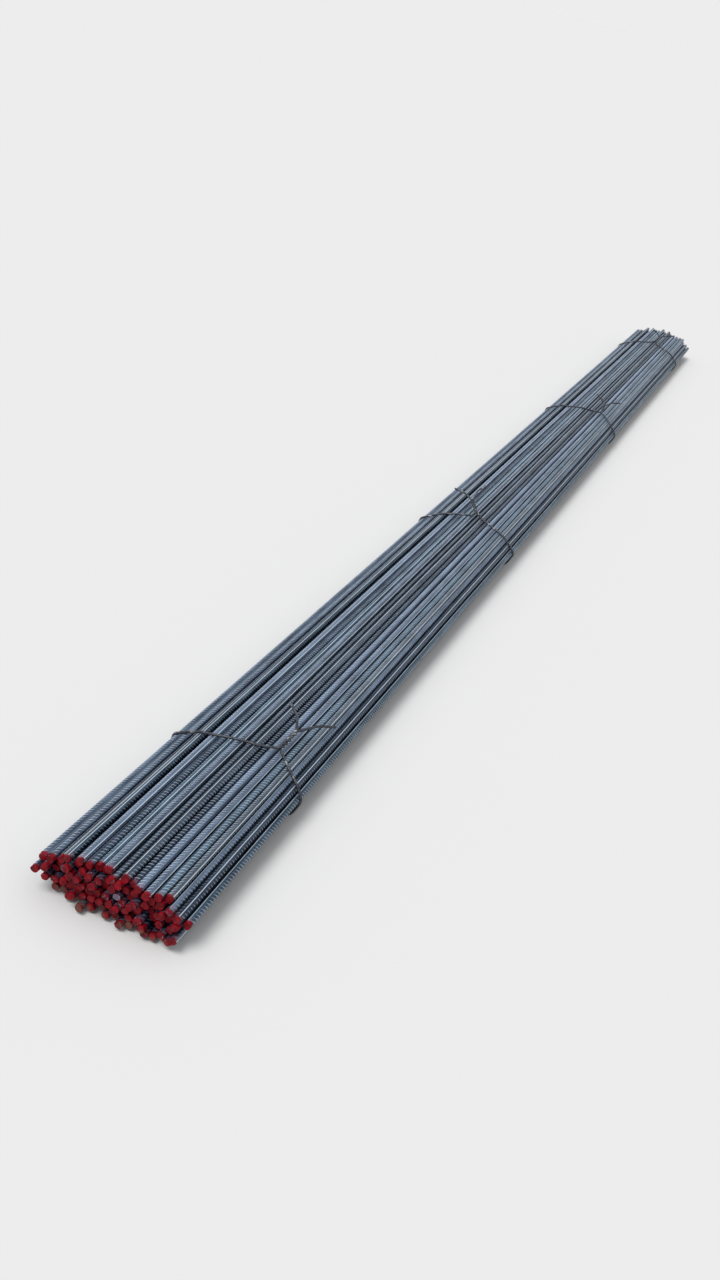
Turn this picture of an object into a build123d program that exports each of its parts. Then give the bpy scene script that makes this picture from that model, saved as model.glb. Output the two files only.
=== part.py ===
"""Bundle of ribbed reinforcing bars, held by four twisted wire ties.

The bars lie along X and the bundle rests on the level floor z = 0, on the wires that pass under it.
The origin is on the floor, under the middle of the bundle. All sizes are in millimetres.
"""

import math
import os

import numpy as np
from build123d import *

# Bars
bar_diameter = 16.0
bar_length = 6000.0
bar_count = 112
bar_gap = 0.4             # left between two bars where they touch
bar_sides = 16            # a bar is cut as a prism with the area of the round bar
bar_layers = 8            # the bars are kept in layers of as many bars, from the floor up
end_stagger = 16.0        # how far a bar's end stands in or out of the bundle's end
bar_wander = 20.0         # how far a bar drifts sideways on its way from end to end

# Bundle's section, pulled to a flattened oval by its ties
bundle_width = 316.0
bundle_height = 128.0
oval_power = 2.6          # 2 is an ellipse, more is squarer

# Wire ties
wire_diameter = 6.0
wire_gap = 0.3            # left between a wire and the bars that it holds
tie_inset = 500.0         # from the bundle's end to its first tie
knot_lift = 4.5           # height of the twist's root over the loop
knot_ahead = 12.0         # from the loop to the twist's root, along the twist
knot_rise = 12.0          # angle at which the twist stands off the bars, in degrees
knot_pull = 42.0          # how far twisting has drawn the loop along the bars at the knot
pull_reach = 130.0        # how far from the knot, along the loop, the loop is drawn aside
# Tie by tie, in degrees: the loop's skew, the knot's place from the top down the front shoulder, and the
# twist's lean away from the bars' direction
ties = [
    (5.0, 34.0, 3.0),
    (-4.0, 24.0, -34.0),
    (3.0, 42.0, -8.0),
    (-6.0, 22.0, 6.0),
]
twist_turns = 3
twist_pitch = 25.0
twist_gap = 0.8           # left between the two strands
tail_lengths = (78.0, 56.0)
tail_splay = 30.0         # angle at which a tail leaves the twist, in degrees
tail_lift = 0.15          # how much of the splay points away from the bars
tail_bend = 0.62          # share of its length at which a tail is kinked
tail_kinks = (0.55, 0.9)  # how far a tail's tip is kinked aside, as a share of the tip's length

# How finely the round forms of the wire are cut
wire_sides = 12
steps_per_turn = 8
corner_turn = 36.0        # the loop turns no more than this at one point, in degrees

# The settling of the bars
settling_steps = 420
closing_steps = 4000
closing_slack = 0.05      # the most that a gap may fall short once the bars are settled
starting_size = 0.6       # share of the full pitch that the bars start from
swelling_time = 0.6       # share of the settling steps in which they swell to their full pitch
parting_ease = 0.4        # share of an overlap that one step clears
holding_ease = 0.3        # share of its way back into the oval that a bar goes in one step
sinking = 0.004           # how far a bar's weight draws it down in one step, in pitches
seed = 3

bar_radius = bar_diameter / 2
corner_radius = bar_radius * math.sqrt(2 * math.pi / bar_sides / math.sin(2 * math.pi / bar_sides))
wire_radius = wire_diameter / 2
bar_pitch = bar_diameter + bar_gap
floor_height = wire_diameter + wire_gap + bar_radius
first, second = np.triu_indices(bar_count, 1)


def part_pairs(ends, pitch):
    """Moves each two bars apart where they come nearer than the pitch, and returns the worst shortfall.

    A bar is a straight line between its two ends, so the nearest place of a pair is where the straight
    line between their gaps at the two ends comes nearest to nothing.
    """
    gap = ends[:, first] - ends[:, second]
    turn = gap[1] - gap[0]
    along = np.clip(-(gap[0] * turn).sum(1) / np.maximum((turn * turn).sum(1), 1e-9), 0, 1)
    nearest = gap[0] + along[:, None] * turn
    distance = np.maximum(np.hypot(*nearest.T), 1e-6)
    hit = np.nonzero(distance < pitch)[0]
    push = (parting_ease / 2 * (pitch / distance[hit] - 1))[:, None] * nearest[hit]
    far = along[hit]
    weight = (1 - far) ** 2 + far**2
    for end, share in enumerate(((1 - far) / weight, far / weight)):
        np.add.at(ends[end], first[hit], push * share[:, None])
        np.add.at(ends[end], second[hit], -push * share[:, None])
    ends[..., 1] = np.maximum(ends[..., 1], floor_height)
    return max(pitch - distance.min(), 0)


def settle_bars():
    """Places of the bars' axes, y and z, at the left and right ends: an array of 2 x bars x 2.

    The bars start thin and spread evenly through the oval, each a little askew. They swell to their full
    pitch while the oval holds them in and their weight draws them down, and end resting on each other.
    """
    chance = np.random.default_rng(seed)
    half = np.array([bundle_width - bar_pitch, bundle_height - bar_pitch]) / 2
    middle = np.array([0, floor_height + half[1]])
    order = np.arange(bar_count)
    radius = np.sqrt((order + 0.5) / bar_count)
    angle = order * math.pi * (3 - math.sqrt(5))
    spread = np.stack([radius * np.cos(angle), radius * np.sin(angle)], axis=1) * half + middle
    ends = spread + chance.uniform(-bar_wander / 2, bar_wander / 2, (2, bar_count, 2))
    for step in range(settling_steps):
        swelling = min(1, starting_size + (1 - starting_size) * step / (swelling_time * settling_steps))
        for _ in range(2):
            part_pairs(ends, bar_pitch * swelling)
        offset = (ends - middle) / half
        reach = (np.abs(offset) ** oval_power).sum(axis=-1, keepdims=True) ** (1 / oval_power)
        ends -= holding_ease * (offset - offset / np.maximum(reach, 1)) * half
        ends[..., 1] -= sinking * bar_pitch
    for _ in range(closing_steps):
        if part_pairs(ends, bar_pitch) < closing_slack:
            break
    return ends


def hull(points):
    """The outermost of the points, counter-clockwise, by Andrew's monotone chain."""
    ordered = sorted(map(tuple, points))

    def chain(row):
        kept = []
        for p in row:
            while len(kept) > 1 and turns_right(kept[-2], kept[-1], p):
                kept.pop()
            kept.append(p)
        return kept[:-1]

    return np.array(chain(ordered) + chain(ordered[::-1]))


def turns_right(a, b, c):
    return (b[0] - a[0]) * (c[1] - a[1]) - (b[1] - a[1]) * (c[0] - a[0]) <= 0


def loop_points(bars):
    """Corners of a wire pulled tight round the bars, as y and z, counter-clockwise.

    Its middle line lies one bar radius, the gap and one wire radius outside the hull of the bars' axes. A
    sharp turn round one bar is cut into several even corners.
    """
    corners = hull(bars)
    stand_off = bar_radius + wire_gap + wire_radius
    before = corners - np.roll(corners, 1, axis=0)
    after = np.roll(corners, -1, axis=0) - corners
    points = []
    for corner, into, out in zip(corners, before, after):
        start = math.atan2(into[1], into[0])
        turn = (math.atan2(out[1], out[0]) - start) % (2 * math.pi)
        cuts = math.ceil(turn / math.radians(corner_turn))
        reach = stand_off / math.cos(turn / cuts / 2)
        for cut in range(cuts):
            normal = start - math.pi / 2 + turn * (cut + 0.5) / cuts
            points.append(corner + reach * np.array([math.cos(normal), math.sin(normal)]))
    return np.array(points)


def tie_route(x, bars, skew, place, lean):
    """Points of one tie's wire, from the end of one tail, round the bundle, to the end of the other.

    The loop opens at the knot, which draws it aside to a point. Its two strands rise there and wind round
    each other as a double helix, which lies almost flat on the bars, and end in two kinked tails.
    """
    loop = loop_points(bars)
    centre = loop.mean(axis=0)
    knot_angle = math.pi / 2 + math.radians(place)
    angles = np.arctan2(loop[:, 1] - centre[1], loop[:, 0] - centre[0])
    start = np.argmin((angles - knot_angle) % (2 * math.pi))
    loop = np.roll(loop, -start, axis=0)
    knot = (loop[0] + loop[-1]) / 2
    from_knot = np.hypot(*(loop - knot).T)
    pulled = knot_pull * np.clip(1 - from_knot / pull_reach, 0, 1)

    tangent = np.array([0, *(loop[0] - loop[-1])])
    tangent /= np.linalg.norm(tangent)
    outward = np.cross([1, 0, 0], -tangent)
    if outward @ np.array([0, *(knot - centre)]) < 0:
        outward = -outward
    lean, rise = math.radians(lean), math.radians(knot_rise)
    flat = math.cos(lean) * np.array([1, 0, 0]) + math.sin(lean) * tangent
    axis = math.cos(rise) * flat + math.sin(rise) * outward
    across = tangent - (tangent @ axis) * axis
    across /= np.linalg.norm(across)
    upward = np.cross(axis, across)

    winding = wire_radius + twist_gap / 2
    winding /= math.cos(math.pi / steps_per_turn)
    drift = math.tan(math.radians(skew))
    root = np.array([x + knot_pull + drift * knot[0], *knot]) + knot_lift * outward + knot_ahead * axis
    steps = np.arange(twist_turns * steps_per_turn + 1)
    turned = 2 * math.pi * steps / steps_per_turn
    middles = root + np.outer(steps * twist_pitch / steps_per_turn, axis)
    ring = np.outer(np.cos(turned), across) + np.outer(np.sin(turned), upward)
    strands = []
    splay = math.radians(tail_splay)
    for sign, length, kink in zip((1, -1), tail_lengths, tail_kinks):
        strand = middles + sign * winding * ring
        leave = math.cos(splay) * axis + math.sin(splay) * (sign * across + tail_lift * outward)
        bend = strand[-1] + tail_bend * length * leave
        tip = bend + (1 - tail_bend) * length * (leave + sign * kink * across)
        strands.append(np.vstack([strand, bend, tip]))
    skewed_loop = np.column_stack([x + drift * loop[:, 0] + pulled, loop])
    return np.vstack([strands[0][::-1], skewed_loop, strands[1]])


def bar_node(name, lines):
    """One node of straight bars, each along its own line."""
    with BuildPart() as bars:
        for start, end in lines:
            with BuildSketch(Plane(origin=start, z_dir=end - start)):
                RegularPolygon(corner_radius, bar_sides)
            extrude(amount=(end - start).length)
    bars.part.label = name
    export_step(bars.part, f"parts/{name}.step")


def tie_node(name, points):
    """One tie, a single wire swept along its route with mitred corners."""
    with BuildPart() as tie:
        with BuildLine() as route:
            Polyline(*(Vector(*p) for p in points))
        with BuildSketch(Plane(origin=route.line @ 0, z_dir=route.line % 0)):
            RegularPolygon(wire_radius, wire_sides)
        sweep(path=route.line, transition=Transition.RIGHT)
    tie.part.label = name
    export_step(tie.part, f"parts/{name}.step")


os.makedirs("parts", exist_ok=True)

ends = settle_bars()
ends[..., 0] -= (ends[..., 0].max() + ends[..., 0].min()) / 2
rising = np.argsort(ends[..., 1].mean(axis=0))
stagger = np.empty(bar_count)
stagger[rising] = end_stagger * np.random.default_rng(seed + 1).uniform(-1, 1, bar_count)
stagger -= (stagger.max() + stagger.min()) / 2
lines = [
    (
        Vector(-bar_length / 2 + shift, *left),
        Vector(bar_length / 2 + shift, *right),
    )
    for shift, left, right in zip(stagger, *ends)
]

for number, layer in enumerate(np.array_split(rising, bar_layers)):
    bar_node(f"bars_layer_{number + 1}", [lines[i] for i in layer])

tie_spacing = (bar_length - 2 * tie_inset) / (len(ties) - 1)
for number, (skew, place, lean) in enumerate(ties):
    x = -bar_length / 2 + tie_inset + number * tie_spacing
    share = ((x - stagger) / bar_length + 0.5)[:, None]
    section = ends[0] * (1 - share) + ends[1] * share
    tie_node(f"tie_wire_{number + 1}", tie_route(x, section, skew, place, lean))
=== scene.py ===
"""Looks of a bundle of ribbed reinforcing bars, tied with twisted wire, its bars' ends painted crimson.

All sizes are in metres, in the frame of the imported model: the bars lie along X and the floor is z = 0.
"""

import math

import bpy
import numpy as np
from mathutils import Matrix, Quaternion, Vector


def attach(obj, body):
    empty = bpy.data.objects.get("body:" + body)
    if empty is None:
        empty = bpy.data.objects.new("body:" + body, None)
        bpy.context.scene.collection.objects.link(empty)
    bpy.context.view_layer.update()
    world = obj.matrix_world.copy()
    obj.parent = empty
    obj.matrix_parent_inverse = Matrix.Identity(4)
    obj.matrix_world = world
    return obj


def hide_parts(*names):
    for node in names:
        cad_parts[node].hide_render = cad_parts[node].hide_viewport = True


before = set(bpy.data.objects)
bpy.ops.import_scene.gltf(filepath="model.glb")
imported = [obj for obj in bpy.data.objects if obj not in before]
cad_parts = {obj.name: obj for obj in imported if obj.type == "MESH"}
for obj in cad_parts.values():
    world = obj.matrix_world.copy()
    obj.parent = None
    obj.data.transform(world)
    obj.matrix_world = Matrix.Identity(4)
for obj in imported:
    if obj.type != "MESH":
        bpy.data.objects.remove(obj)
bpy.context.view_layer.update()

# Bars: a round core, two spines along it and two rows of crescent ribs across it
half_length = 3.0                  # of a bar, as in the model
bar_radius = 0.008
core_radius = 0.00765
core_sections = 10                 # rings spread evenly along a core, counting its two ends
plain_sides = 12                   # corners of the round skin between its two spines
spine_height = 0.0009
spine_half_angle = math.radians(9)
spine_flat = 0.55                  # share of a spine's width that is flat on top
sway = 0.0005                      # how far a bar bows from its straight line
sway_length = 2.6

# Crescent ribs
rib_height = 0.00105
rib_fullness = 0.6                 # power of the lens that gives the height: less keeps it high for longer
rib_width = 0.0040
rib_tip_width = 0.35               # share of its width that a rib keeps at its tips
rib_pitch = 0.0098
rib_slant = math.radians(57)       # between a rib and the bar's axis
rib_half_span = math.radians(79)
rib_sink = 0.00015                 # how deep a rib's foot lies in the core
rib_step = math.radians(27)        # a rib has a section at least this often round the bar
rib_sections = 4                   # and at least this many
end_margin = 0.0015                # no rib's middle line comes nearer than this to its bar's end
row_overrun = 0.01                 # a row is laid out this far past the ends before it is cut back
least_shown = math.radians(34)     # ribs that show over less than this are left to the bump
rows_per_piece = 13                # rows of ribs in one mesh

# Sheared ends
shear_tilt = math.radians(7)       # the most that an end face leans
least_tilt = 0.2                   # share of it that every end face leans at least
shear_lip = 0.0007
lip_start = 0.55                   # share of the radius from which the low side is drawn out
lip_growth = 2                     # how fast the lip then grows, in its own sizes to a radius
end_rounding = 0.0006
face_scales = (0.3, 0.7, 0.93)     # rings on the end face, as shares of the profile's size
edge_scales = (0.96, 0.985, 1.0, 1.0)
edge_places = (0.0, 0.3, 1.0, 4.0)  # how far in from the face the edge's rings lie, in roundings

# How much of each bar can be seen, and how open its skin is, which the material uses for a painted shade
sight_directions = 36              # looked in round each bar
sight_places = (0.0, 0.5, 1.0)     # where along the bars, as shares of their length
fan_rays = 15
fan_reach = 70                     # how far the rays fan out each way, in degrees
lowest_ray = -0.25                 # a ray that points down more steeply than this sees only the floor

# Wire ties, worked out as in the model
wire_radius = 0.003
wire_gap = 0.0003
wire_sides = 12
wire_step = 0.002
cut_end = 0.8                      # radius of the wire's cut ends, as a share of the wire's own
tie_inset = 0.5
corner_turn = math.radians(36)
knot_lift = 0.0045
knot_ahead = 0.012
knot_rise = math.radians(12)
knot_pull = 0.042
pull_reach = 0.130
# Tie by tie, in degrees: the loop's skew, the knot's place from the top down the front shoulder, and the
# twist's lean away from the bars' direction
ties = [
    (5.0, 34.0, 3.0),
    (-4.0, 24.0, -34.0),
    (3.0, 42.0, -8.0),
    (-6.0, 22.0, 6.0),
]
twist_turns = 3
twist_steps = 20                   # points of a strand in one turn
twist_pitch = 0.025
twist_gap = 0.0008
tail_lengths = (0.078, 0.056)
tail_steps = 10
tail_splay = math.radians(30)
tail_lift = 0.15
tail_bend = 0.62
tail_kinks = (0.55, 0.9)
loop_easing = 8                    # how often the loop, and then the whole wire, is averaged
wire_easing = 3

chance = np.random.default_rng(11)


# Shapes

half_turn = 0.5                    # in the UV map, which counts turns round a bar


def tube_faces(rings, sides):
    """Triangles of one closed tube of rings, with a pole at each end.

    Point s of ring r is number r * sides + s, and the poles are the last two points. Going round a ring and
    then along the tube gives the outward side by the right-hand rule.
    """
    ring, side = np.meshgrid(np.arange(rings - 1), np.arange(sides), indexing="ij")
    a = ring * sides + side
    b = ring * sides + (side + 1) % sides
    wall = np.concatenate([np.stack([a, b, b + sides], -1), np.stack([a, b + sides, a + sides], -1)])
    s = np.arange(sides)
    last = (rings - 1) * sides
    start = np.stack([np.full(sides, rings * sides), (s + 1) % sides, s], -1)
    end = np.stack([np.full(sides, rings * sides + 1), last + s, last + (s + 1) % sides], -1)
    return np.concatenate([wall.reshape(-1, 3), start, end])


def closed_tubes(rings, starts, ends):
    """Many like tubes at once: rings is tubes x rings x sides x 3, starts and ends are tubes x 3.

    Returns the points and triangles of them all.
    """
    tubes, count, sides = rings.shape[:3]
    points = np.concatenate([rings.reshape(tubes, -1, 3), starts[:, None], ends[:, None]], axis=1)
    each = tube_faces(count, sides)
    faces = each[None] + np.arange(tubes)[:, None, None] * points.shape[1]
    return points.reshape(-1, 3), faces.reshape(-1, 3)


def make_piece(name, points, faces, material, values, around=None):
    """A mesh object from arrays, with one float per point for each named value, and a UV map when given.

    In a triangle over the map's seam, the corners past the seam are counted one turn on.
    """
    mesh = bpy.data.meshes.new(name)
    mesh.vertices.add(len(points))
    mesh.vertices.foreach_set("co", points.astype(np.float32).ravel())
    mesh.loops.add(faces.size)
    mesh.loops.foreach_set("vertex_index", faces.astype(np.int32).ravel())
    mesh.polygons.add(len(faces))
    mesh.polygons.foreach_set("loop_start", np.arange(0, faces.size, 3, dtype=np.int32))
    mesh.polygons.foreach_set("use_smooth", np.ones(len(faces), bool))
    for key, data in values.items():
        mesh.attributes.new(key, "FLOAT", "POINT").data.foreach_set("value", data.astype(np.float32))
    if around is not None:
        corners = around[faces]
        over_seam = np.ptp(corners[..., 0], axis=1) > half_turn
        corners[..., 0] += over_seam[:, None] & (corners[..., 0] < half_turn)
        layer = mesh.uv_layers.new(name="around")
        layer.uv.foreach_set("vector", corners.astype(np.float32).ravel())
    mesh.update()
    mesh.validate()
    mesh.materials.append(material)
    piece = bpy.data.objects.new(name, mesh)
    bpy.context.collection.objects.link(piece)
    return piece


# Bars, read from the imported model

welding_steps = 1e5                # to a metre: corners that round to the same step are one point


def node_triangles(node):
    """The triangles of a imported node: triangles x corners x 3."""
    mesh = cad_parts[node].data
    points = np.empty(len(mesh.vertices) * 3, np.float32)
    mesh.vertices.foreach_get("co", points)
    corners = np.empty(len(mesh.loops), np.int32)
    mesh.loops.foreach_get("vertex_index", corners)
    return points.reshape(-1, 3)[corners].reshape(-1, 3, 3).astype(float)


def separate_parts(triangles):
    """The number of the separate solid that each triangle belongs to.

    Every point starts with its own number, and each triangle keeps handing its lowest number to its three
    corners until nothing changes.
    """
    keys = np.round(triangles.reshape(-1, 3) * welding_steps).astype(np.int64)
    distinct, index = np.unique(keys, axis=0, return_inverse=True)
    corners = index.reshape(-1, 3)
    number = np.arange(len(distinct))
    while True:
        lowest = number[corners].min(axis=1)
        handed = number.copy()
        np.minimum.at(handed, corners.ravel(), np.repeat(lowest, 3))
        if (handed == number).all():
            return number[corners[:, 0]]
        number = handed


def bar_lines(node):
    """The ends of each bar's axis in a node, bars x 2 x 3: each is the middle of its end face's box."""
    triangles = node_triangles(node)
    part = separate_parts(triangles)
    lines = []
    for number in np.unique(part):
        points = triangles[part == number].reshape(-1, 3)
        for side in (points[points[:, 0] < 0], points[points[:, 0] > 0]):
            lines.append((side.min(axis=0) + side.max(axis=0)) / 2)
    return np.array(lines).reshape(-1, 2, 3)


def open_directions(lines):
    """Which directions round each bar can be seen from outside, and how free each is: bars x directions.

    From a point on the bar's skin, rays fan out each way. The direction is seen where one of them, at one of
    the places along the bars, passes every other bar and doesn't point at the floor. It is as free as the
    share of its rays that pass, each counted by its cosine, on average at those places.
    """
    angles = np.arange(sight_directions) * 2 * math.pi / sight_directions
    outward = np.stack([np.cos(angles), np.sin(angles)], -1)
    fan = np.radians(np.linspace(-fan_reach, fan_reach, fan_rays))
    way = angles[:, None] + fan
    ray = np.stack([np.cos(way), np.sin(way)], -1)
    seen = np.zeros((len(lines), sight_directions), bool)
    free = np.zeros((len(lines), sight_directions))
    for share in sight_places:
        centres = (lines[:, 0] * (1 - share) + lines[:, 1] * share)[:, 1:]
        skin = centres[:, None] + bar_radius * outward
        for bar in range(len(lines)):
            others = np.delete(centres, bar, axis=0)
            gap = others[None, None] - skin[bar][:, None, None]
            ahead = (gap * ray[:, :, None]).sum(-1)
            aside = np.abs(gap[..., 0] * ray[:, :, None, 1] - gap[..., 1] * ray[:, :, None, 0])
            blocked = ((ahead > 0) & (aside < bar_radius)).any(-1)
            seen[bar] |= (~blocked & (ray[..., 1] > lowest_ray)).any(-1)
            free[bar] += (~blocked @ np.cos(fan)) / np.cos(fan).sum() / len(sight_places)
    return seen, free


def open_arc(row):
    """Start and end angle of the longest run of open directions, or None."""
    count = len(row)
    if row.all():
        return 0.0, 2 * math.pi
    if not row.any():
        return None
    twice = np.concatenate([row, row])
    edges = np.flatnonzero(np.diff(np.concatenate([[False], twice, [False]]).astype(int)))
    starts, ends = edges[::2], edges[1::2]
    longest = np.argmax(np.minimum(ends - starts, count))
    step = 2 * math.pi / count
    return (starts[longest] - 0.5) * step, (min(ends[longest], starts[longest] + count) - 0.5) * step


class Bars:
    """The bars of one node, with what chance gives each of them.

    free is how free each bar's skin is in each direction, and is filled in once all bars' places are known.
    """

    def __init__(self, node):
        self.node = node
        self.lines = bar_lines(node)
        self.count = len(self.lines)
        self.roll = chance.uniform(0, 2 * math.pi, self.count)
        self.phase = chance.uniform(0, 2 * math.pi, (self.count, 2))
        self.shift = chance.uniform(0, rib_pitch, self.count)
        self.tone = chance.uniform(0, 1, self.count)
        self.tint = chance.uniform(0, 1, self.count)
        self.dip = chance.uniform(0, 1, (self.count, 2))
        self.tilt = chance.uniform(0, 2 * math.pi, (self.count, 2))
        self.tilt_size = chance.uniform(least_tilt, 1, (self.count, 2)) * shear_tilt
        self.free = None

    def freedom(self, bar, angle):
        """How free the skin is at an angle round a bar: 1 outside the bundle, 0 deep inside it."""
        count = self.free.shape[1]
        soft = sum(np.roll(self.free, shift, axis=1) for shift in (-1, 0, 1)) / 3
        place = (angle / (2 * math.pi) * count) % count
        below = np.floor(place).astype(int) % count
        part = place - np.floor(place)
        return soft[bar, below] * (1 - part) + soft[bar, (below + 1) % count] * part

    def axis(self, bar, x):
        """The y and z of bars' axes at x: the straight line between the ends, with a slow sway."""
        start, end = self.lines[bar, 0], self.lines[bar, 1]
        share = (x - start[..., 0]) / (end[..., 0] - start[..., 0])
        straight = start[..., 1:] + share[..., None] * (end - start)[..., 1:]
        turn = 2 * math.pi * x[..., None] / sway_length + self.phase[bar]
        return straight + sway * np.sin(turn)

    def from_end(self, bar, x):
        """Distance along the bar from its nearer end."""
        start, end = self.lines[bar, 0, 0], self.lines[bar, 1, 0]
        return np.minimum(x - start, end - x)

    def values(self, bar, points):
        """What the steel reads at each point: its bar's own tones, and the distance from the bar's end."""
        side = (points[:, 0] > 0).astype(int)
        return {
            "tone": self.tone[bar],
            "tint": self.tint[bar],
            "dip": self.dip[bar, side],
            "from_end": np.maximum(self.from_end(bar, points[:, 0]), 0),
        }


def core_profile():
    """Angles and rises of one ring: a circle, with a spine of four points at 0 and at 180 degrees."""
    half = spine_half_angle
    spine = np.array([-half, -spine_flat * half, spine_flat * half, half])
    plain = np.linspace(half, math.pi - half, plain_sides)[1:-1]
    angles = np.concatenate([spine, plain, spine + math.pi, plain + math.pi])
    spine_rise = np.array([0, 1, 1, 0])
    return angles, np.concatenate([spine_rise, 0 * plain, spine_rise, 0 * plain])


def core_rings(bars, turned, radii):
    """Rings along each bar's axis, bars x rings x points x 3, from the angles and radii of the profile.

    Near each end the rings shrink over the rounding, then run inward over the face. The face leans: a
    point lies further in by its distance along the tilt's direction times the tilt's tangent. Its low side
    is drawn out to a lip. The second value is 1 for each ring of the wall and 0 for those of the faces.
    """
    index = np.arange(bars.count)[:, None]
    left, right = bars.lines[:, 0, 0][:, None], bars.lines[:, 1, 0][:, None]
    inner = np.linspace(0, 1, core_sections)[1:-1]
    edge = np.array(edge_places) * end_rounding
    face = (bars.count, len(face_scales))
    along = np.concatenate([
        np.broadcast_to(left, face), left + edge, left + inner * (right - left),
        right - edge[::-1], np.broadcast_to(right, face),
    ], axis=1)
    cap = np.array(face_scales + edge_scales)
    scale = np.concatenate([cap, np.ones(len(inner)), cap[::-1]])
    way = np.stack([np.cos(turned), np.sin(turned)], -1)
    radius = (radii * scale[:, None])[None, ..., None]
    centre = bars.axis(index, along)
    rings = np.empty((bars.count, len(scale), len(radii), 3))
    rings[..., 1:] = centre[:, :, None] + radius * way[:, None]
    rings[..., 0] = along[..., None]
    for side, rows, inward in ((0, slice(0, len(cap)), 1), (1, slice(-len(cap), None), -1)):
        aim = np.stack([np.cos(bars.tilt[:, side]), np.sin(bars.tilt[:, side])], -1)
        offset = ((rings[:, rows, :, 1:] - centre[:, rows, None]) * aim[:, None, None]).sum(-1)
        size = np.tan(bars.tilt_size[:, side])[:, None, None]
        lip = shear_lip * np.clip(-offset / core_radius - lip_start, 0, 1) * lip_growth
        rings[:, rows, :, 0] += inward * (offset * size - lip)
    wall = np.ones(len(scale))
    wall[:len(face_scales)] = wall[-len(face_scales):] = 0
    return rings, wall


def make_cores(bars, has_ribs, material):
    """The bars' cores: the profile turned by each bar's roll, in rings along its axis, closed at both ends.

    The skin of a bar that has no ribs as a mesh is marked, so that the material draws them as a height.
    """
    angles, rises = core_profile()
    turned = angles + bars.roll[:, None]
    rings, wall = core_rings(bars, turned, core_radius + spine_height * rises)
    points, faces = closed_tubes(rings, rings[:, 0].mean(axis=1), rings[:, -1].mean(axis=1))
    bar = np.repeat(np.arange(bars.count), len(points) // bars.count)

    def each_point(of_ring_point, of_pole):
        """One value for each point of all bars, from values for the rings' points and for the poles."""
        values = np.broadcast_to(of_ring_point, rings.shape[:3]).reshape(bars.count, -1)
        return np.concatenate([values, np.full((bars.count, 2), of_pole)], axis=1).ravel()

    values = bars.values(bar, points)
    values["rise"] = each_point(rises * wall[:, None], 0.0)
    values["smooth_skin"] = each_point(wall[:, None], 0.0) * ~has_ribs[bar]
    skin = bars.freedom(np.arange(bars.count)[:, None], turned)
    values["free"] = each_point(skin[:, None] * wall[:, None] + (1 - wall[:, None]), 1.0)
    around = np.stack([each_point(angles / (2 * math.pi), 0.0), points[:, 0] + bars.shift[bar]], -1)
    return make_piece(f"{bars.node}_cores", points, faces, material, values, around)


def rib_rows(bars, arcs):
    """The rows of crescent ribs that can be seen: bar, side, middle angle, and the angles where they show.

    The two rows' middles lie half a turn apart, between the spines. They are tried in each turn that the
    open arc may lie in.
    """
    rows = []
    for bar in range(bars.count):
        if arcs[bar] is None:
            continue
        low, high = arcs[bar]
        for side in (0.5, 1.5):
            middle = bars.roll[bar] + side * math.pi
            for turn in (-2, -1, 0, 1, 2):
                centre = middle + turn * 2 * math.pi
                start = max(low, centre - rib_half_span)
                end = min(high, centre + rib_half_span)
                if end - start > least_shown:
                    rows.append((bar, side, centre, start, end))
    return rows


def rib_row(bars, bar, side, centre, low, high):
    """One row of ribs: their points and triangles, and each point's rise and how free it is.

    Each rib is a sliver of three-sided sections. At the angle a from the row's middle, its middle line lies
    a * core_radius / tan(slant) further along the bar, and its height is that of a lens, which is
    (1 - (a / half span) ** 2) ** fullness: full in the middle and nothing at the span's ends.
    """
    start, end = bars.lines[bar, 0, 0], bars.lines[bar, 1, 0]
    first = start - row_overrun + bars.shift[bar] + side * rib_pitch / 2
    places = np.arange(first, end + row_overrun, rib_pitch)
    angle = np.linspace(low, high, max(rib_sections, 1 + math.ceil((high - low) / rib_step)))
    lens = np.clip(1 - ((angle - centre) / rib_half_span) ** 2, 0, 1) ** rib_fullness
    x = places[:, None] + (angle - centre) * core_radius / math.tan(rib_slant)
    x = x[(x.min(axis=1) > start + end_margin) & (x.max(axis=1) < end - end_margin)]

    half = rib_width / 2 * (rib_tip_width + (1 - rib_tip_width) * lens)
    along = x[..., None] + np.stack([half, 0 * half, -half], -1)
    foot = np.full_like(lens, core_radius - rib_sink)
    radii = np.stack([foot, core_radius + rib_height * lens, foot], -1)
    way = np.stack([np.cos(angle), np.sin(angle)], -1)
    yz = bars.axis(np.full(along.shape, bar), along) + radii[None, ..., None] * way[None, :, None]
    solid = np.concatenate([along[..., None], yz], -1)
    tips = solid[:, [0, -1]].mean(axis=2)
    points, faces = closed_tubes(solid[:, 1:-1], tips[:, 0], tips[:, 1])

    rise = np.concatenate([np.outer(lens[1:-1], (0.0, 1.0, 0.0)).ravel(), [0.0, 0.0]])
    skin = bars.freedom(bar, angle)
    free = np.concatenate([np.repeat(skin[1:-1], 3), skin[[0, -1]]])
    return points, faces, np.tile(rise, len(x)), np.tile(free, len(x))


def make_ribs(bars, rows, name, material):
    """Some rows of crescent ribs as one piece."""
    points, faces, rises, freedoms = zip(*(rib_row(bars, *row) for row in rows))
    counts = [len(cloud) for cloud in points]
    firsts = np.cumsum([0] + counts[:-1])
    faces = np.concatenate([sheet + first for sheet, first in zip(faces, firsts)])
    points = np.concatenate(points)
    values = bars.values(np.repeat([row[0] for row in rows], counts), points)
    values["rise"] = np.concatenate(rises)
    values["free"] = np.concatenate(freedoms)
    return make_piece(name, points, faces, material, values)


# Wire ties

askew = (0.3, 0.5, 0.8)            # a direction that no wire sets out in


def hull(points):
    """The outermost of the points, counter-clockwise, by Andrew's monotone chain."""
    ordered = sorted(map(tuple, points))

    def chain(row):
        kept = []
        for p in row:
            while len(kept) > 1 and turns_right(kept[-2], kept[-1], p):
                kept.pop()
            kept.append(p)
        return kept[:-1]

    return np.array(chain(ordered) + chain(ordered[::-1]))


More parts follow.
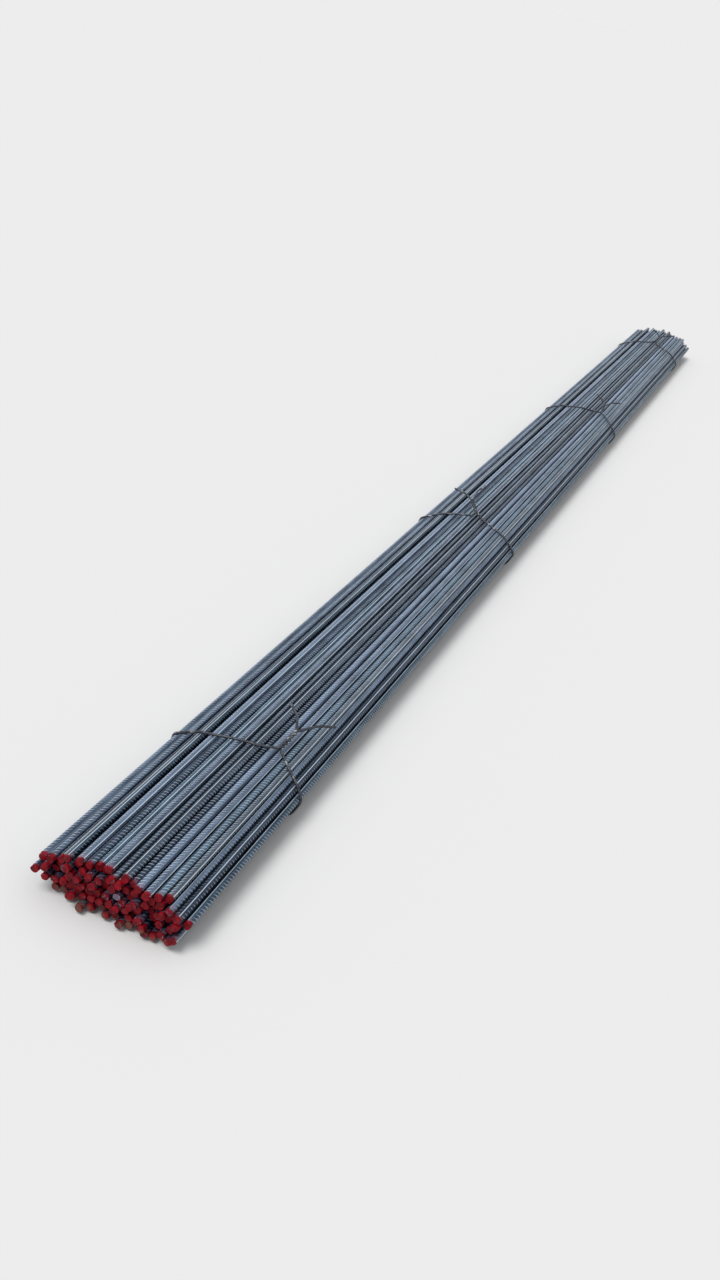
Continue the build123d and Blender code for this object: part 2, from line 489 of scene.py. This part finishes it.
def turns_right(a, b, c):
    return (b[0] - a[0]) * (c[1] - a[1]) - (b[1] - a[1]) * (c[0] - a[0]) <= 0


def loop_points(bars):
    """Corners of a wire pulled tight round the bars, as y and z, counter-clockwise.

    Its middle line lies one bar radius, the gap and one wire radius outside the hull of the bars' axes. A
    sharp turn round one bar is cut into several even corners.
    """
    corners = hull(bars)
    stand_off = bar_radius + wire_gap + wire_radius
    before = corners - np.roll(corners, 1, axis=0)
    after = np.roll(corners, -1, axis=0) - corners
    points = []
    for corner, into, out in zip(corners, before, after):
        start = math.atan2(into[1], into[0])
        turn = (math.atan2(out[1], out[0]) - start) % (2 * math.pi)
        cuts = math.ceil(turn / corner_turn)
        reach = stand_off / math.cos(turn / cuts / 2)
        normals = start - math.pi / 2 + turn * (np.arange(cuts) + 0.5) / cuts
        points.append(corner + reach * np.stack([np.cos(normals), np.sin(normals)], -1))
    return np.concatenate(points)


def eased(points, passes):
    """A line through the points in even steps, softened by some passes.

    In each pass a place becomes half of itself and a quarter of each neighbour.
    """
    reach = np.concatenate([[0], np.cumsum(np.linalg.norm(np.diff(points, axis=0), axis=1))])
    places = np.linspace(0, reach[-1], max(2, int(reach[-1] / wire_step)))
    line = np.stack([np.interp(places, reach, column) for column in points.T], -1)
    for _ in range(passes):
        line[1:-1] = 0.25 * line[:-2] + 0.5 * line[1:-1] + 0.25 * line[2:]
    return line


def tie_line(x, section, skew, place, lean):
    """The middle line of one tie's wire, from tail to tail, by way of the twist, the loop and the twist.

    The loop is drawn aside to a point at the knot. There its two strands rise and wind round each other as a
    double helix, which lies almost flat on the bars, and end in two kinked tails.
    """
    loop = loop_points(section)
    centre = loop.mean(axis=0)
    angles = np.arctan2(loop[:, 1] - centre[1], loop[:, 0] - centre[0])
    start = np.argmin((angles - math.pi / 2 - math.radians(place)) % (2 * math.pi))
    loop = np.roll(loop, -start, axis=0)
    knot = (loop[0] + loop[-1]) / 2
    from_knot = np.hypot(*(loop - knot).T)
    pulled = knot_pull * np.clip(1 - from_knot / pull_reach, 0, 1)

    tangent = np.array([0, *(loop[0] - loop[-1])])
    tangent /= np.linalg.norm(tangent)
    outward = np.cross(tangent, [1, 0, 0])
    lean = math.radians(lean)
    flat = math.cos(lean) * np.array([1, 0, 0]) + math.sin(lean) * tangent
    axis = math.cos(knot_rise) * flat + math.sin(knot_rise) * outward
    across = tangent - (tangent @ axis) * axis
    across /= np.linalg.norm(across)
    upward = np.cross(axis, across)

    drift = math.tan(math.radians(skew))
    root = np.array([x + knot_pull + drift * knot[0], *knot]) + knot_lift * outward + knot_ahead * axis
    turned = np.linspace(0, 2 * math.pi * twist_turns, twist_steps * twist_turns + 1)
    winding = wire_radius + twist_gap / 2
    middles = root + np.outer(turned / (2 * math.pi) * twist_pitch, axis)
    ring = np.outer(np.cos(turned), across) + np.outer(np.sin(turned), upward)
    share = np.linspace(1 / tail_steps, 1, tail_steps)
    strands = []
    for sign, length, kink in zip((1, -1), tail_lengths, tail_kinks):
        strand = middles + sign * winding * ring
        leave = math.cos(tail_splay) * axis + math.sin(tail_splay) * (sign * across + tail_lift * outward)
        tail = np.outer(share, leave) + np.outer(np.maximum(share - tail_bend, 0), sign * kink * across)
        strands.append(np.vstack([strand, strand[-1] + length * tail]))
    skewed = np.column_stack([x + drift * loop[:, 0] + pulled, loop])
    return eased(np.vstack([strands[0][::-1], eased(skewed, loop_easing), strands[1]]), wire_easing)


def carried_frames(line):
    """Two directions across the line at each place, carried along it with the least turning."""
    ahead = np.gradient(line, axis=0)
    ahead /= np.linalg.norm(ahead, axis=1, keepdims=True)
    side = np.cross(ahead[0], askew)
    sides = []
    for way in ahead:
        side = side - (side @ way) * way
        side /= np.linalg.norm(side)
        sides.append(side)
    sides = np.array(sides)
    return sides, np.cross(ahead, sides)


def make_tie(name, line, material):
    """One tie: a round section carried along the wire's middle line, with its cut ends rounded off."""
    side, up = carried_frames(line)
    angle = np.arange(wire_sides) * 2 * math.pi / wire_sides
    radius = np.full(len(line), wire_radius)
    radius[[0, -1]] *= cut_end
    ring = np.cos(angle)[:, None] * side[:, None] + np.sin(angle)[:, None] * up[:, None]
    rings = line[:, None] + radius[:, None, None] * ring
    points, faces = closed_tubes(rings[None], line[None, 0], line[None, -1])
    return make_piece(name, points, faces, material, {})


# Materials

# Colours are linear. Waves are a noise's, to the metre. A range is where a mask begins and where it is full.

# Mill scale: waves along and across the bars, and how much each noise and a bar's own tone counts
streak_waves = (6, 160, 160)
streak_weight = 0.7
patch_waves = (14, 40, 40)
patch_weight = 0.6
speck_waves = (350, 700, 700)
speck_weight = 0.35
tone_weight = 0.6
scale_balance = -0.8
scale_range = (0.05, 0.85)
scale_roughness = 0.3              # the least of it, and what the patches add
patch_roughness = 0.3
streak_height = 0.4
speck_height = 0.6

# Steel of the bars
steel_dark = (0.050, 0.080, 0.128, 1)
steel_light = (0.425, 0.550, 0.715, 1)
valley_painted_shade = (0.50, 0.535, 0.585, 1)  # painted shade: darkens the skin between the ribs and spines
# Crests of ribs and spines: partly rubbed bright by handling, partly a painted highlight
crest_highlight_range = (0.25, 1.0)
rubbed_and_highlit_steel = (0.78, 0.87, 0.96, 1)
crest_highlight_share = 0.68                # how much of it is on the crests: partly steel rubbed bright, partly a painted highlight
inside_painted_shade = (0.14, 0.19, 0.28, 1)  # painted shade: darkens the skin deep between the bars, where the bundle hides it from outside light
inside_shade_range = (0.0, 0.8)
bar_metallic = 0.65
bar_specular = 0.14
bar_relief = 0.5
relief_depth = 0.0003
scale_height = 0.5                 # how much mill scale and paint count in the relief
paint_height = 0.8
drawn_crest = (0.1, 0.9)           # of the wave that draws the ribs of hidden bars
# Casts that some bars have: the range of their chance value, and the colour
bar_casts = [
    ((0.22, 0.12), (0.90, 1.0, 0.96, 1)),
    ((0.62, 0.72), (1.0, 0.975, 0.97, 1)),
    ((0.86, 0.96), (1.06, 0.96, 0.84, 1)),
]

# Rust and mud on the bars
bloom_waves = (30, 90, 90)
rust_range = (0.62, 0.76)
rust_share = 0.5
rust_brown = (0.19, 0.10, 0.055, 1)
mud_waves = 26.0
mud_splash = 0.10                  # how far the noise carries the mud's edge up
mud_range = (-0.024, -0.044)       # height above the floor, less the splash
mud_share = 0.6
mud_brown = (0.135, 0.100, 0.075, 1)
soiled_roughness = 0.5

# Paint on the bars' ends: its edge, from the bar's end inwards, is carried in and out by two noises
paint_dark = (0.090, 0.001, 0.004, 1)
paint_light = (0.250, 0.002, 0.010, 1)
paint_waves = 85.0
paint_range = (0.3, 0.7)
paint_roughness = 0.42
paint_roughness_spread = 0.25
thinnest_paint = 0.5               # share of its full thickness
dust_range = (0.56, 0.74)
dust_share = 0.32
dusty_red = (0.30, 0.085, 0.090, 1)
least_painted = 0.001              # mean place of the edge on the bar with the least paint
most_dipped = 0.011                # and how much further in it lies on the bar with the most
blotch_waves = 130.0
blotch_ragged = 0.012
fine_waves = 520.0
fine_ragged = 0.007
edge_range = (-0.0006, 0.0008)
chip_grain = 0.35                  # how much the fine noise counts beside the blotches
chip_range = (0.42, 0.52)
missed_range = (0.03, 0.05)        # of a bar's dip: under it the paint missed the end
mist_reach = (0.020, 0.004)        # from the bar's end
mist_range = (0.40, 0.62)
mist_share = 0.40
# Overspray of the paint, its pale pink partly a painted highlight on the ends' edges
mist_glint_pink = (0.60, 0.20, 0.24, 1)

# Wire of the ties
wire_dark = (0.030, 0.033, 0.040, 1)
wire_light = (0.115, 0.125, 0.150, 1)
wire_grain = (1.5, 1.5, 1.5)       # how much finer its mill scale is than the bars'
wire_rub_waves = 60.0
wire_rub_range = (0.56, 0.70)
wire_rub_share = 0.7
wire_rubbed = (0.42, 0.43, 0.45, 1)
wire_rust_waves = 34.0
wire_rust_range = (0.57, 0.72)
wire_rust_share = 0.3
wire_rust_brown = (0.13, 0.070, 0.045, 1)
wire_metallic = 0.8
wire_rust_dulling = -0.5           # what full rust adds to metallic
wire_rust_roughness = 0.3
wire_relief = 0.4


class Nodes:
    """A node tree being laid out, with short ways to add and join its nodes."""

    def __init__(self, tree):
        self.tree = tree

    def add(self, kind, inputs=None, **settings):
        node = self.tree.nodes.new(kind)
        for key, value in settings.items():
            setattr(node, key, value)
        for key, value in (inputs or {}).items():
            self.feed(node.inputs[key], value)
        return node

    def feed(self, socket, value):
        if isinstance(value, bpy.types.NodeSocket):
            self.tree.links.new(value, socket)
        else:
            socket.default_value = value

    def maths(self, operation, *values, clamp=False):
        node = self.add("ShaderNodeMath", operation=operation, use_clamp=clamp)
        for socket, value in zip(node.inputs, values):
            self.feed(socket, value)
        return node.outputs[0]

    def times(self, first, second):
        return self.maths("MULTIPLY", first, second)

    def weighed(self, base, *pairs):
        """The base, and each value times its weight, added up."""
        for value, weight in pairs:
            base = self.maths("MULTIPLY_ADD", value, weight, base)
        return base

    def noise(self, place, scale, detail=4.0, roughness=0.55):
        values = {"Vector": place, "Scale": scale, "Detail": detail, "Roughness": roughness}
        return self.add("ShaderNodeTexNoise", values).outputs["Fac"]

    def stretched(self, place, scale):
        return self.add("ShaderNodeMapping", {"Vector": place, "Scale": scale}).outputs[0]

    def between(self, value, low, high):
        """0 where the value is at low, 1 where it is at high, smoothly between."""
        values = {"Value": value, "From Min": low, "From Max": high}
        return self.add("ShaderNodeMapRange", values, interpolation_type="SMOOTHSTEP").outputs[0]

    def blend(self, share, first, second, mode="MIX"):
        node = self.add("ShaderNodeMix", data_type="RGBA", blend_type=mode)
        self.feed(node.inputs[0], share)
        self.feed(node.inputs[6], first)
        self.feed(node.inputs[7], second)
        return node.outputs[2]

    def tinted(self, colour, cast):
        return self.blend(1.0, colour, cast, "MULTIPLY")

    def value(self, name):
        return self.add("ShaderNodeAttribute", attribute_name=name).outputs["Fac"]


def new_material(name):
    material = bpy.data.materials.new(name)
    material.use_nodes = True
    tree = material.node_tree
    tree.nodes.clear()
    nodes = Nodes(tree)
    shader = nodes.add("ShaderNodeBsdfPrincipled")
    output = nodes.add("ShaderNodeOutputMaterial")
    tree.links.new(shader.outputs[0], output.inputs[0])
    return material, nodes, shader


def new_group(name, inputs, outputs):
    """An empty shader node group with the named sockets, each of its form: Vector, Color or Float."""
    tree = bpy.data.node_groups.new(name, "ShaderNodeTree")
    for kind, sockets in (("INPUT", inputs), ("OUTPUT", outputs)):
        for label, form in sockets.items():
            tree.interface.new_socket(label, in_out=kind, socket_type=f"NodeSocket{form}")
    nodes = Nodes(tree)
    start = nodes.add("NodeGroupInput")
    end = nodes.add("NodeGroupOutput")
    return tree, nodes, start.outputs, end.inputs


def use_group(nodes, tree, **inputs):
    """The outputs of the group, placed with these inputs. An underline in a name stands for a space."""
    node = nodes.add("ShaderNodeGroup", node_tree=tree)
    for key, value in inputs.items():
        nodes.feed(node.inputs[key.replace("_", " ")], value)
    return node.outputs


def mill_scale_group():
    """Scale left by hot rolling: a colour mottled and streaked along X, a roughness and a height."""
    tree, nodes, given, put = new_group(
        "mill_scale",
        {"Place": "Vector", "Dark": "Color", "Light": "Color", "Tone": "Float"},
        {"Color": "Color", "Roughness": "Float", "Height": "Float"},
    )
    streaks = nodes.noise(nodes.stretched(given["Place"], streak_waves), 1.0, detail=5.0)
    patches = nodes.noise(nodes.stretched(given["Place"], patch_waves), 1.0, detail=4.0)
    specks = nodes.noise(nodes.stretched(given["Place"], speck_waves), 1.0, detail=3.0)
    lightness = nodes.weighed(
        scale_balance, (patches, patch_weight), (streaks, streak_weight), (specks, speck_weight),
        (given["Tone"], tone_weight),
    )
    share = nodes.between(lightness, *scale_range)
    nodes.feed(put["Color"], nodes.blend(share, given["Dark"], given["Light"]))
    nodes.feed(put["Roughness"], nodes.weighed(scale_roughness, (patches, patch_roughness)))
    nodes.feed(put["Height"], nodes.weighed(0.0, (streaks, streak_height), (specks, speck_height)))
    return tree


def end_paint_group():
    """Paint brushed over the bars' ends: how far it covers, and a thin mist of it further along."""
    tree, nodes, given, put = new_group(
        "end_paint",
        {"Place": "Vector", "From End": "Float", "Dip": "Float"},
        {"Cover": "Float", "Mist": "Float", "Thickness": "Float"},
    )
    blotch = nodes.noise(given["Place"], blotch_waves, detail=3.0)
    fine = nodes.noise(given["Place"], fine_waves, detail=3.0)
    edge = nodes.weighed(
        least_painted - (blotch_ragged + fine_ragged) / 2,
        (given["Dip"], most_dipped), (blotch, blotch_ragged), (fine, fine_ragged),
    )
    painted = nodes.between(nodes.maths("SUBTRACT", edge, given["From End"]), *edge_range)
    kept = nodes.between(nodes.weighed(blotch, (fine, chip_grain)), *chip_range)
    reached = nodes.between(given["Dip"], *missed_range)
    cover = nodes.times(nodes.times(painted, kept), reached)
    near = nodes.between(given["From End"], *mist_reach)
    mist = nodes.times(near, nodes.between(fine, *mist_range))
    thickness = nodes.weighed(thinnest_paint, (fine, 1 - thinnest_paint))
    nodes.feed(put["Cover"], cover)
    nodes.feed(put["Mist"], nodes.times(mist, mist_share))
    nodes.feed(put["Thickness"], nodes.times(cover, thickness))
    return tree


def rib_height_map(nodes):
    """Ribs as a height, for the bars inside the bundle, from the UV map: turns round, and metres along.

    A cosine along the bar, one wave to each pitch and sliding on as the slant does, is cut to crests. The
    lens that it is multiplied by is the sine of the way from one spine to the next, to the ribs' fullness.
    """
    place = nodes.add("ShaderNodeUVMap", uv_map="around").outputs[0]
    split = nodes.add("ShaderNodeSeparateXYZ", {"Vector": place}).outputs
    slope = 2 * math.pi * core_radius / math.tan(rib_slant)
    from_spine = nodes.maths("FRACT", nodes.times(split["X"], 2.0))
    lens = nodes.maths("SINE", nodes.times(from_spine, math.pi))
    along = nodes.weighed(split["Y"], (split["X"], -slope))
    wave = nodes.maths("COSINE", nodes.times(along, 2 * math.pi / rib_pitch))
    return nodes.times(nodes.between(wave, *drawn_crest), nodes.maths("POWER", lens, rib_fullness))


def bar_cast(nodes, tint):
    """A faint cast that one bar has and the next hasn't: green, rosy, brown or none."""
    cast = (1, 1, 1, 1)
    for edges, colour in bar_casts:
        cast = nodes.blend(nodes.between(tint, *edges), cast, colour)
    return cast


def bare_steel(nodes, scale, drawn_ribs):
    """Colour of the bars' skin under rust and paint: mill scale, lightened on the crests by rubbing and a
    painted highlight, and darkened between the ribs and deep inside the bundle by painted shade.
    """
    # Crests are lightened: partly rubbing, partly a painted highlight on the tops of the ribs
    crest_highlight_mask = nodes.between(nodes.maths("MAXIMUM", nodes.value("rise"), drawn_ribs), *crest_highlight_range)
    steel = nodes.tinted(scale["Color"], bar_cast(nodes, nodes.value("tint")))
    rubbed = nodes.blend(crest_highlight_share, steel, rubbed_and_highlit_steel)
    # Painted shade: the skin away from the crests is darkened as if shaded by the ribs
    steel = nodes.blend(crest_highlight_mask, nodes.tinted(steel, valley_painted_shade), rubbed)
    # Painted shade: skin that the other bars hide from outside is darkened, the less free the darker
    free = nodes.between(nodes.value("free"), *inside_shade_range)
    return nodes.blend(free, nodes.tinted(steel, inside_painted_shade), steel)


def bar_material(scale_group, paint_group):
    """Steel of the bars, from the inside out: mill scale with painted shade and highlight, rust, a mist of
    paint whose pale pink is partly a painted highlight, the paint, dust and mud.
    """
    material, nodes, shader = new_material("bar_steel")
    place = nodes.add("ShaderNodeTexCoord").outputs["Object"]
    drawn_ribs = nodes.times(rib_height_map(nodes), nodes.value("smooth_skin"))
    scale = use_group(
        nodes, scale_group, Place=place, Tone=nodes.value("tone"), Dark=steel_dark, Light=steel_light,
    )
    paint = use_group(
        nodes, paint_group, Place=place, From_End=nodes.value("from_end"), Dip=nodes.value("dip"),
    )

    bloom = nodes.noise(nodes.stretched(place, bloom_waves), 1.0, detail=6.0, roughness=0.7)
    rust = nodes.times(nodes.between(bloom, *rust_range), rust_share)
    rusty = nodes.blend(rust, bare_steel(nodes, scale, drawn_ribs), rust_brown)
    shade = nodes.noise(place, paint_waves, detail=3.0)
    red = nodes.blend(nodes.between(shade, *paint_range), paint_dark, paint_light)
    dusty = nodes.blend(nodes.times(nodes.between(bloom, *dust_range), dust_share), red, dusty_red)
    # The mist is overspray, but its pale pink also stands in as a painted highlight near the ends
    misted_and_glinting = nodes.blend(paint["Mist"], rusty, mist_glint_pink)
    finish = nodes.blend(paint["Cover"], misted_and_glinting, dusty)
    height = nodes.add("ShaderNodeSeparateXYZ", {"Vector": place}).outputs["Z"]
    splash = nodes.noise(place, mud_waves, detail=5.0, roughness=0.65)
    low = nodes.between(nodes.weighed(height, (splash, -mud_splash)), *mud_range)
    mud = nodes.times(low, mud_share)
    nodes.feed(shader.inputs["Base Color"], nodes.blend(mud, finish, mud_brown))
    nodes.feed(shader.inputs["Specular IOR Level"], bar_specular)

    bare = nodes.maths("SUBTRACT", 1.0, nodes.maths("MAXIMUM", paint["Cover"], paint["Mist"]))
    soiled = nodes.maths("MAXIMUM", rust, mud)
    clean = nodes.maths("SUBTRACT", bar_metallic, soiled, clamp=True)
    nodes.feed(shader.inputs["Metallic"], nodes.times(bare, clean))
    rough = nodes.weighed(scale["Roughness"], (soiled, soiled_roughness))
    painted = nodes.weighed(paint_roughness, (shade, paint_roughness_spread))
    mixed = nodes.add("ShaderNodeMix", {"Factor": paint["Cover"], "A": rough, "B": painted})
    nodes.feed(shader.inputs["Roughness"], mixed.outputs[0])

    relief = nodes.weighed(0.0, (scale["Height"], scale_height), (paint["Thickness"], paint_height))
    fine = nodes.add("ShaderNodeBump", {"Height": relief, "Strength": bar_relief, "Distance": relief_depth})
    ribs = {"Height": drawn_ribs, "Strength": 1.0, "Distance": rib_height, "Normal": fine.outputs[0]}
    nodes.feed(shader.inputs["Normal"], nodes.add("ShaderNodeBump", ribs).outputs[0])
    return material


def wire_material(scale_group):
    """Dark wire of the ties: a finer mill scale, rubbed bright in places and faintly rusty in others."""
    material, nodes, shader = new_material("tie_wire")
    place = nodes.add("ShaderNodeTexCoord").outputs["Object"]
    scale = use_group(
        nodes, scale_group, Place=nodes.stretched(place, wire_grain), Tone=0.5,
        Dark=wire_dark, Light=wire_light,
    )
    rub = nodes.between(nodes.noise(place, wire_rub_waves), *wire_rub_range)
    rust = nodes.between(nodes.noise(place, wire_rust_waves, detail=5.0, roughness=0.7), *wire_rust_range)
    colour = nodes.blend(nodes.times(rub, wire_rub_share), scale["Color"], wire_rubbed)
    colour = nodes.blend(nodes.times(rust, wire_rust_share), colour, wire_rust_brown)
    nodes.feed(shader.inputs["Base Color"], colour)
    nodes.feed(shader.inputs["Metallic"], nodes.weighed(wire_metallic, (rust, wire_rust_dulling)))
    nodes.feed(shader.inputs["Roughness"], nodes.weighed(scale["Roughness"], (rust, wire_rust_roughness)))
    relief = {"Height": scale["Height"], "Strength": wire_relief, "Distance": relief_depth}
    nodes.feed(shader.inputs["Normal"], nodes.add("ShaderNodeBump", relief).outputs[0])
    return material


# Studio

floor_reach = 200.0
floor_tone = 0.73
backdrop = 0.847                   # as bright as the lit floor
sky_low = 0.20                     # the sky's light at the horizon
sky_rise = 0.58                    # and how much more it is from this height of its direction up
sky_full = 0.9
lamp_power = 1.9
lamp_spread = math.radians(28)
lamp_way = Vector((-0.55, 0.25, 1.0))  # towards the lamp
near_end = Vector((-half_length, 0.0, 0.07))  # the middle of it
sight_fall = math.radians(40)      # how far below level the near end is seen
sight_length = 2.42                # from the eye to the near end
bars_turn = math.radians(25.5)     # between the line of sight, seen from above, and the bars
aim_along = 1.240                  # the camera looks at this distance along the bundle from its near end
aim_aside = 0.005
camera_roll = math.radians(14)
sensor_width = 36.0                # in millimetres, as a lens is
lens_pixels = 1300.0               # focal length, in pixels of a picture as tall as the photograph
photo_height = 1280.0


def grey(tone):
    return tone, tone, tone, 1


def make_floor():
    floor = bpy.data.meshes.new("floor")
    ways = ((-1, -1), (1, -1), (1, 1), (-1, 1))
    corners = [(x * floor_reach, y * floor_reach, 0) for x, y in ways]
    floor.from_pydata(corners, [], [(0, 1, 2, 3)])
    material, nodes, shader = new_material("floor")
    nodes.feed(shader.inputs["Base Color"], grey(floor_tone))
    nodes.feed(shader.inputs["Roughness"], 1.0)
    nodes.feed(shader.inputs["Specular IOR Level"], 0.0)
    floor.materials.append(material)
    ground = bpy.data.objects.new("floor", floor)
    bpy.context.collection.objects.link(ground)


def make_light():
    """A sky that is brighter overhead, and a broad lamp. The camera and mirrors see a plain backdrop."""
    world = bpy.data.worlds.new("studio")
    world.use_nodes = True
    world.node_tree.nodes.clear()
    nodes = Nodes(world.node_tree)
    way = nodes.add("ShaderNodeTexCoord").outputs["Generated"]
    height = nodes.add("ShaderNodeSeparateXYZ", {"Vector": way}).outputs["Z"]
    bright = nodes.weighed(sky_low, (nodes.between(height, 0.0, sky_full), sky_rise))
    path = nodes.add("ShaderNodeLightPath").outputs
    mirrored = nodes.maths("MAXIMUM", path["Is Glossy Ray"], path["Is Transmission Ray"])
    shown = nodes.maths("MAXIMUM", path["Is Camera Ray"], mirrored)
    lit = nodes.add("ShaderNodeBackground", {"Color": grey(1), "Strength": bright})
    seen = nodes.add("ShaderNodeBackground", {"Color": grey(backdrop), "Strength": 1.0})
    mix = nodes.add("ShaderNodeMixShader")
    nodes.feed(mix.inputs[0], shown)
    nodes.feed(mix.inputs[1], lit.outputs[0])
    nodes.feed(mix.inputs[2], seen.outputs[0])
    output = nodes.add("ShaderNodeOutputWorld")
    nodes.feed(output.inputs[0], mix.outputs[0])
    bpy.context.scene.world = world

    lamp = bpy.data.lights.new("sky_light", "SUN")
    lamp.energy = lamp_power
    lamp.angle = lamp_spread
    holder = bpy.data.objects.new("sky_light", lamp)
    holder.rotation_euler = lamp_way.to_track_quat("Z", "Y").to_euler()
    bpy.context.collection.objects.link(holder)


def make_camera():
    across = math.cos(sight_fall)
    sight = Vector((math.cos(bars_turn) * across, math.sin(bars_turn) * across, -math.sin(sight_fall)))
    place = near_end - sight * sight_length
    target = near_end + Vector((aim_along, aim_aside, 0))
    camera = bpy.data.cameras.new("camera")
    camera.sensor_width = sensor_width
    camera.lens = sensor_width * lens_pixels / photo_height
    holder = bpy.data.objects.new("camera", camera)
    holder.location = place
    aim = (target - place).to_track_quat("-Z", "Y")
    holder.rotation_euler = (aim @ Quaternion((0, 0, 1), camera_roll)).to_euler()
    bpy.context.collection.objects.link(holder)
    bpy.context.scene.camera = holder


for left_over in [o for o in bpy.data.objects if o.type in ("LIGHT", "CAMERA")]:
    bpy.data.objects.remove(left_over)
bpy.context.scene.view_settings.view_transform = "Standard"
make_floor()
make_light()
make_camera()

scale_group = mill_scale_group()
paint_group = end_paint_group()
steel = bar_material(scale_group, paint_group)
wire = wire_material(scale_group)

layers = [Bars(node) for node in sorted(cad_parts) if node.startswith("bars_layer")]
all_lines = np.concatenate([bars.lines for bars in layers])
seen_from, freedoms = open_directions(all_lines)
cuts = np.cumsum([bars.count for bars in layers])[:-1]
for bars, seen, free in zip(layers, np.split(seen_from, cuts), np.split(freedoms, cuts)):
    bars.free = free
    rows = rib_rows(bars, [open_arc(row) for row in seen])
    has_ribs = np.isin(np.arange(bars.count), [row[0] for row in rows])
    pieces = [make_cores(bars, has_ribs, steel)]
    for number in range(0, len(rows), rows_per_piece):
        name = f"{bars.node}_ribs_{number // rows_per_piece + 1}"
        pieces.append(make_ribs(bars, rows[number:number + rows_per_piece], name, steel))
    for piece in pieces:
        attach(piece, "root")
        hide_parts(bars.node)

tie_places = np.linspace(-half_length + tie_inset, half_length - tie_inset, len(ties))
for number, (x, (skew, place, lean)) in enumerate(zip(tie_places, ties), 1):
    start, end = all_lines[:, 0], all_lines[:, 1]
    share = (x - start[:, :1]) / (end[:, :1] - start[:, :1])
    section = start[:, 1:] + share * (end - start)[:, 1:]
    tie = make_tie(f"tie_{number}", tie_line(x, section, skew, place, lean), wire)
    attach(tie, "root")
    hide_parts(f"tie_wire_{number}")
